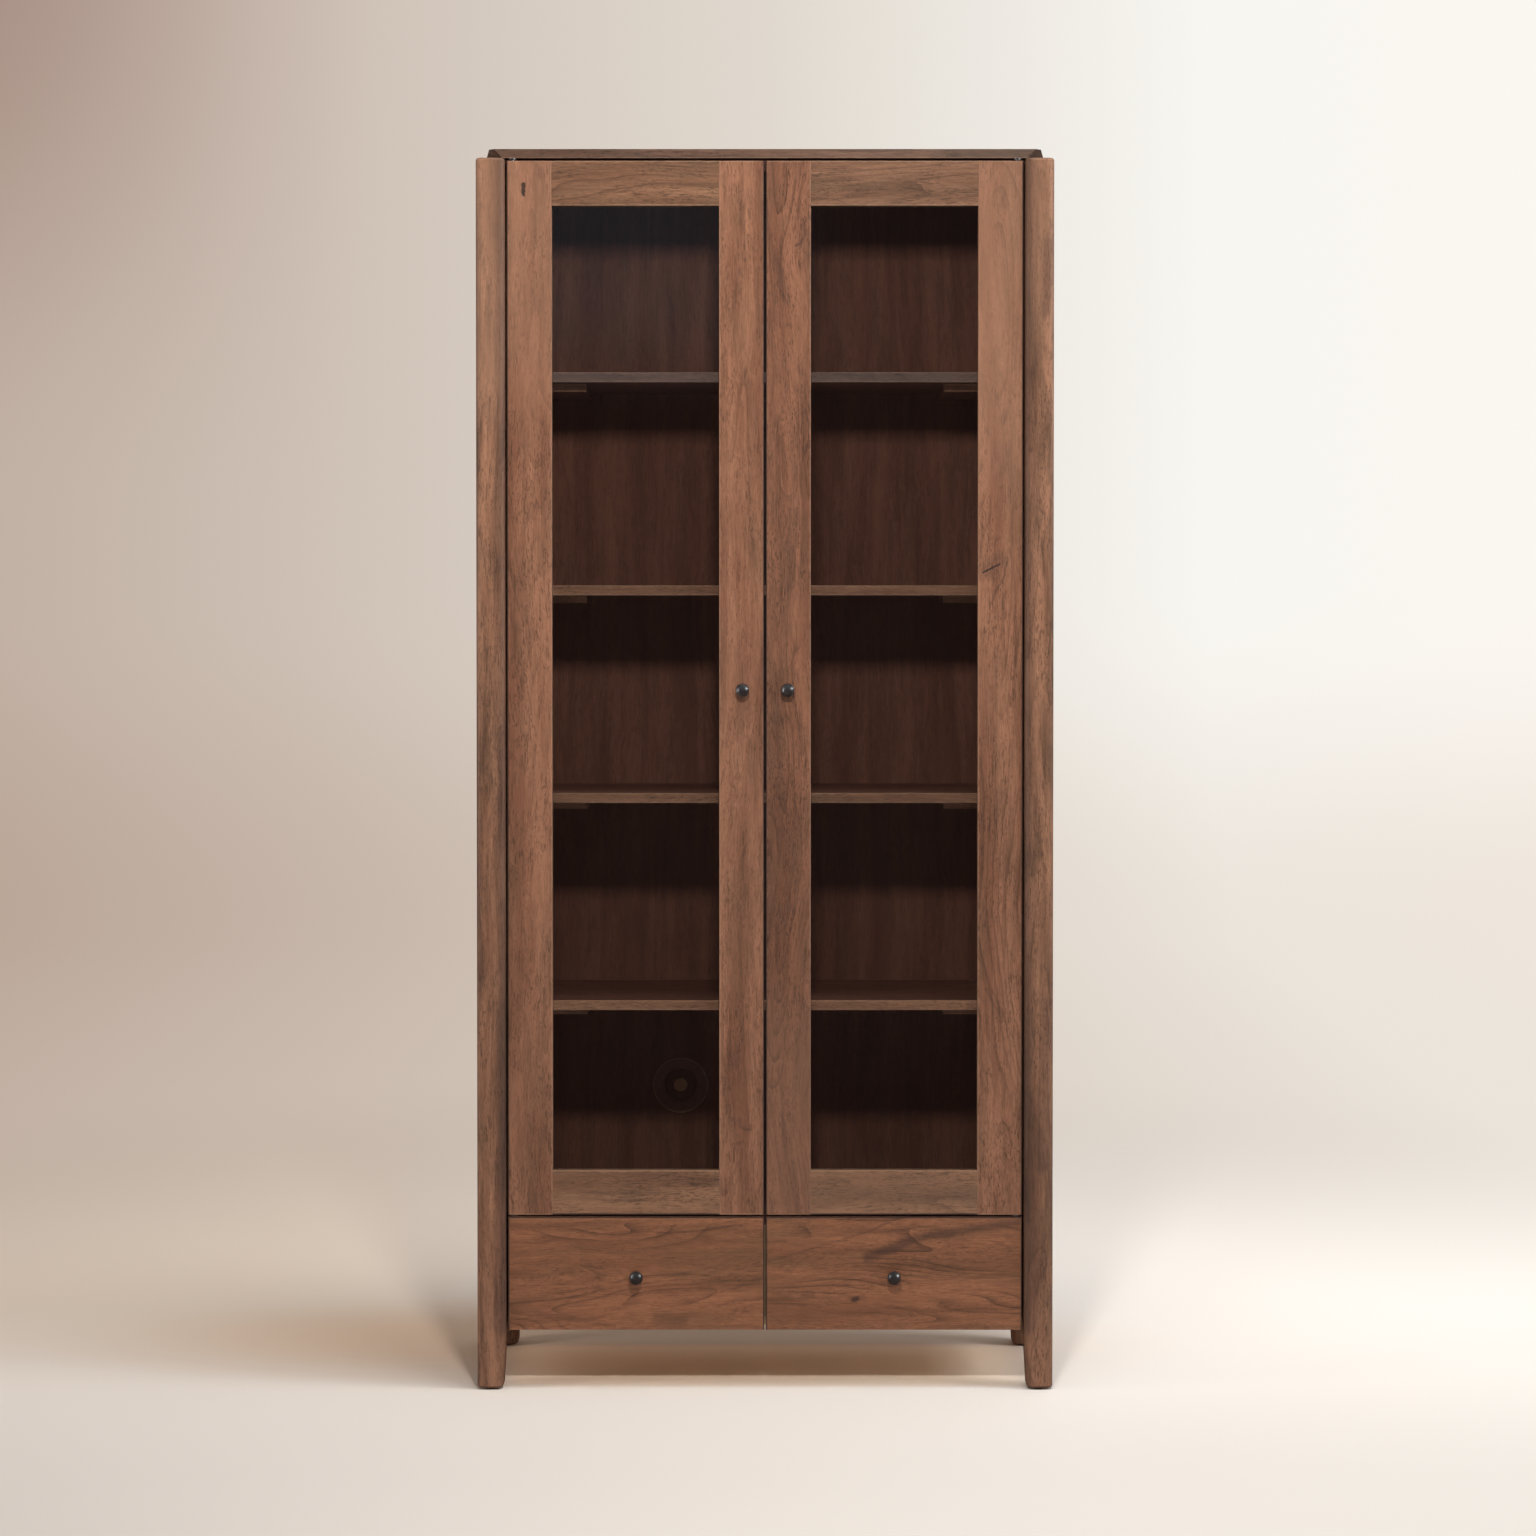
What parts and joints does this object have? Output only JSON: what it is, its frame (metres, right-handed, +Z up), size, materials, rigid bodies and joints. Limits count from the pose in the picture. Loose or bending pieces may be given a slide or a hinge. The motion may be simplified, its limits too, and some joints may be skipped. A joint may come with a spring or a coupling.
{
  "type": "china cabinet",
  "caption": "Tall wooden china cabinet with glazed swing doors over side by side drawers, shelves inside, and posts that run down as legs.",
  "frame": {"origin": "bottom centre of the whole cabinet, on the floor", "axes": "+X to the viewer's right, the front faces -Y, +Z up"},
  "size_m": [0.92, 0.418, 1.98],
  "materials": {
    "post_wood": "satin lacquer",
    "side_wood": "satin lacquer",
    "top_wood": "satin lacquer",
    "stile_wood": "satin lacquer",
    "rail_wood": "satin lacquer",
    "drawer_front_wood": "satin lacquer",
    "interior_wood": "satin lacquer",
    "back_wood": "satin lacquer",
    "shelf_wood": "satin lacquer",
    "batten_wood": "satin lacquer",
    "drawer_box_wood": "satin lacquer",
    "dowel_wood": "satin lacquer",
    "pane_glass": "clear",
    "knob_metal": "satin gunmetal",
    "hinge_metal": "blackened steel",
    "screw_steel": "zinc plated",
    "bush_brass": "plain",
    "catch_plastic": "matte",
    "glide_plastic": "matte",
    "port_ring": "matte",
    "port_cap": "matte"
  },
  "bodies": {
    "carcass": {"left_front_post": "post_wood", "right_front_post": "post_wood", "left_rear_post": "post_wood", "right_rear_post": "post_wood", "left_side_panel": "side_wood", "right_side_panel": "side_wood", "case_dowels": "dowel_wood", "shelf_pins": "hinge_metal", "pivot_plates": "hinge_metal", "hinge_screws": "screw_steel", "top_screws": "screw_steel", "top_board": "top_wood", "case_top": "interior_wood", "cabinet_floor": "interior_wood", "drawer_bay_floor": "drawer_box_wood", "drawer_divider": "drawer_box_wood", "back_panel": "back_wood", "cable_port_ring": "port_ring", "cable_port_cap": "port_cap", "shelf_1": "shelf_wood", "shelf_2": "shelf_wood", "shelf_3": "shelf_wood", "shelf_4": "shelf_wood", "shelf_battens": "batten_wood", "foot_glides": "glide_plastic", "door_catches": "catch_plastic", "drawer_runners": "dowel_wood"},
    "left_door": {"left_hinge_stile": "stile_wood", "left_meeting_stile": "stile_wood", "left_top_rail": "rail_wood", "left_bottom_rail": "rail_wood", "left_glass": "pane_glass", "left_glass_beads": "rail_wood", "left_door_knob": "knob_metal", "left_door_knob_screw": "screw_steel", "left_pivot_bushes": "bush_brass", "left_strike_plate": "screw_steel"},
    "left_drawer": {"left_drawer_front": "drawer_front_wood", "left_drawer_knob": "knob_metal", "left_drawer_knob_screw": "screw_steel", "left_drawer_sides": "drawer_box_wood", "left_drawer_back": "drawer_box_wood", "left_drawer_bottom": "drawer_box_wood"},
    "right_door": {"right_hinge_stile": "stile_wood", "right_meeting_stile": "stile_wood", "right_top_rail": "rail_wood", "right_bottom_rail": "rail_wood", "right_glass": "pane_glass", "right_glass_beads": "rail_wood", "right_door_knob": "knob_metal", "right_door_knob_screw": "screw_steel", "right_pivot_bushes": "bush_brass", "right_strike_plate": "screw_steel"},
    "right_drawer": {"right_drawer_front": "drawer_front_wood", "right_drawer_knob": "knob_metal", "right_drawer_knob_screw": "screw_steel", "right_drawer_sides": "drawer_box_wood", "right_drawer_back": "drawer_box_wood", "right_drawer_bottom": "drawer_box_wood"}
  },
  "joints": [
    {"name": "left_door_hinge", "type": "hinge", "parent": "carcass", "child": "left_door", "pos_m": [-0.402, -0.176, 0.2795], "axis": [0, 0, -1], "range_deg": [0, 110]},
    {"name": "right_door_hinge", "type": "hinge", "parent": "carcass", "child": "right_door", "pos_m": [0.402, -0.176, 0.2795], "axis": [0, 0, 1], "range_deg": [0, 110]},
    {"name": "left_drawer_slide", "type": "slide", "parent": "carcass", "child": "left_drawer", "axis": [0, -1, 0], "range_m": [0, 0.28]},
    {"name": "right_drawer_slide", "type": "slide", "parent": "carcass", "child": "right_drawer", "axis": [0, -1, 0], "range_m": [0, 0.28]}
  ]
}
